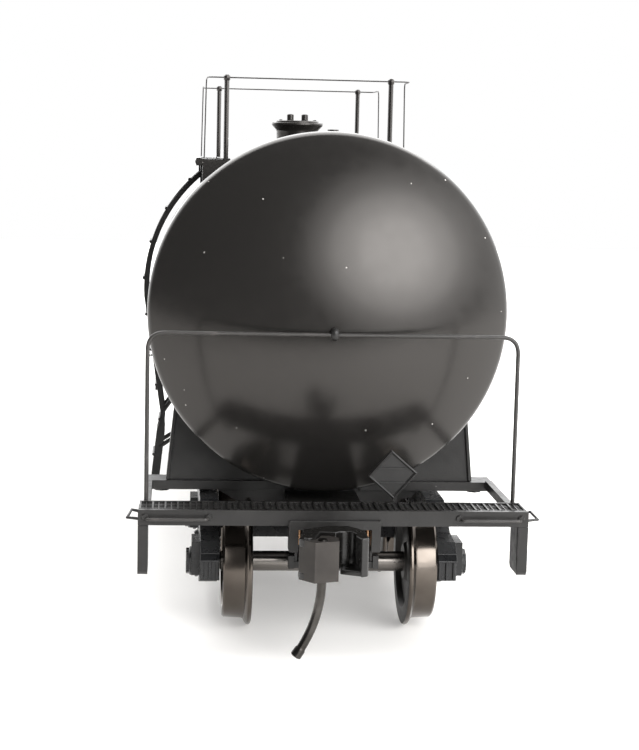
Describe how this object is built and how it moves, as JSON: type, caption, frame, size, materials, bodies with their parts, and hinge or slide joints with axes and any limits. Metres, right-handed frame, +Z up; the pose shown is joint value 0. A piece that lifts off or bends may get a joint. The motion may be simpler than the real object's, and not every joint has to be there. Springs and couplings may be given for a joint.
{
  "type": "model tank wagon",
  "caption": "HO scale model of a funnel-flow tank wagon with end handrails, top platforms, side ladders, swivelling trucks and knuckle couplers that swing and open.",
  "frame": {"origin": "middle of the wagon on the level of the wheel flanges' lowest points", "axes": "+Y along the wagon (the end with the -Y coupler is the one called near), +X across it to the right seen from the near end, +Z up"},
  "size_m": [0.0376, 0.1428, 0.0529],
  "materials": {
    "tank_plastic": "satin black",
    "frame_plastic": "satin black",
    "truck_plastic": "dull black",
    "blackened_wire": "satin black",
    "wheel_metal": "blackened nickel with bright treads",
    "axle_steel": "turned steel",
    "coupler_metal": "warm dark grey cast metal",
    "pin_steel": "glossy blackened steel",
    "bronze_strip": "phosphor bronze",
    "weight_steel": "mill"
  },
  "bodies": {
    "wagon_body": {"tank_barrel": "tank_plastic", "tank_head_near": "tank_plastic", "tank_head_far": "tank_plastic", "ballast_weight": "weight_steel", "manway_neck": "tank_plastic", "manway_cover": "tank_plastic", "relief_valve": "tank_plastic", "bottom_outlet": "frame_plastic", "top_platform_right": "tank_plastic", "top_platform_left": "tank_plastic", "platform_handrail_near": "blackened_wire", "platform_handrail_far": "blackened_wire", "ladder_right": "frame_plastic", "ladder_left": "frame_plastic", "body_bolster_near": "frame_plastic", "draft_sill_near": "frame_plastic", "coupler_lid_near": "frame_plastic", "centring_spring_near": "bronze_strip", "end_sill_near": "frame_plastic", "end_walkway_near": "frame_plastic", "end_handrail_near": "blackened_wire", "placard_holder_near": "frame_plastic", "corner_step_left_near": "frame_plastic", "corner_step_right_near": "frame_plastic", "sill_grab_iron_left_near": "blackened_wire", "sill_grab_iron_right_near": "blackened_wire", "kingpin_screw_near": "axle_steel", "body_bolster_far": "frame_plastic", "draft_sill_far": "frame_plastic", "coupler_lid_far": "frame_plastic", "centring_spring_far": "bronze_strip", "end_sill_far": "frame_plastic", "end_walkway_far": "frame_plastic", "end_handrail_far": "blackened_wire", "placard_holder_far": "frame_plastic", "corner_step_left_far": "frame_plastic", "corner_step_right_far": "frame_plastic", "sill_grab_iron_left_far": "blackened_wire", "sill_grab_iron_right_far": "blackened_wire", "kingpin_screw_far": "axle_steel"},
    "truck_near": {"truck_frame_near": "truck_plastic"},
    "coupler_near": {"coupler_body_near": "coupler_metal"},
    "knuckle_near": {"coupler_knuckle_near": "coupler_metal", "trip_pin_near": "pin_steel"},
    "wheelset_near_outer": {"axle_near_outer": "axle_steel", "wheel_near_outer_left": "wheel_metal", "wheel_near_outer_right": "wheel_metal"},
    "wheelset_near_inner": {"axle_near_inner": "axle_steel", "wheel_near_inner_left": "wheel_metal", "wheel_near_inner_right": "wheel_metal"},
    "truck_far": {"truck_frame_far": "truck_plastic"},
    "coupler_far": {"coupler_body_far": "coupler_metal"},
    "knuckle_far": {"coupler_knuckle_far": "coupler_metal", "trip_pin_far": "pin_steel"},
    "wheelset_far_outer": {"axle_far_outer": "axle_steel", "wheel_far_outer_left": "wheel_metal", "wheel_far_outer_right": "wheel_metal"},
    "wheelset_far_inner": {"axle_far_inner": "axle_steel", "wheel_far_inner_left": "wheel_metal", "wheel_far_inner_right": "wheel_metal"}
  },
  "joints": [
    {"name": "truck_near_swivel", "type": "hinge", "parent": "wagon_body", "child": "truck_near", "pos_m": [0, -0.0428, 0.006], "axis": [0, 0, 1], "range_deg": [-10, 10]},
    {"name": "wheelset_near_outer_spin", "type": "hinge", "parent": "truck_near", "child": "wheelset_near_outer", "pos_m": [0, -0.053, 0.006], "axis": [1, 0, 0], "continuous": true},
    {"name": "wheelset_near_inner_spin", "type": "hinge", "parent": "truck_near", "child": "wheelset_near_inner", "pos_m": [0, -0.0326, 0.006], "axis": [1, 0, 0], "continuous": true},
    {"name": "coupler_near_swing", "type": "hinge", "parent": "wagon_body", "child": "coupler_near", "pos_m": [0, -0.0545, 0.01025], "axis": [0, 0, 1], "range_deg": [-12, 12], "stiffness_Nm_per_rad": 0.002},
    {"name": "knuckle_near_open", "type": "hinge", "parent": "coupler_near", "child": "knuckle_near", "pos_m": [-0.0031, -0.0694, 0.01025], "axis": [0, 0, -1], "range_deg": [0, 30], "stiffness_Nm_per_rad": 0.0005},
    {"name": "truck_far_swivel", "type": "hinge", "parent": "wagon_body", "child": "truck_far", "pos_m": [0, 0.0428, 0.006], "axis": [0, 0, 1], "range_deg": [-10, 10]},
    {"name": "wheelset_far_outer_spin", "type": "hinge", "parent": "truck_far", "child": "wheelset_far_outer", "pos_m": [0, 0.053, 0.006], "axis": [1, 0, 0], "continuous": true},
    {"name": "wheelset_far_inner_spin", "type": "hinge", "parent": "truck_far", "child": "wheelset_far_inner", "pos_m": [0, 0.0326, 0.006], "axis": [1, 0, 0], "continuous": true},
    {"name": "coupler_far_swing", "type": "hinge", "parent": "wagon_body", "child": "coupler_far", "pos_m": [0, 0.0545, 0.01025], "axis": [0, 0, 1], "range_deg": [-12, 12], "stiffness_Nm_per_rad": 0.002},
    {"name": "knuckle_far_open", "type": "hinge", "parent": "coupler_far", "child": "knuckle_far", "pos_m": [0.0031, 0.0694, 0.01025], "axis": [0, 0, -1], "range_deg": [0, 30], "stiffness_Nm_per_rad": 0.0005}
  ]
}
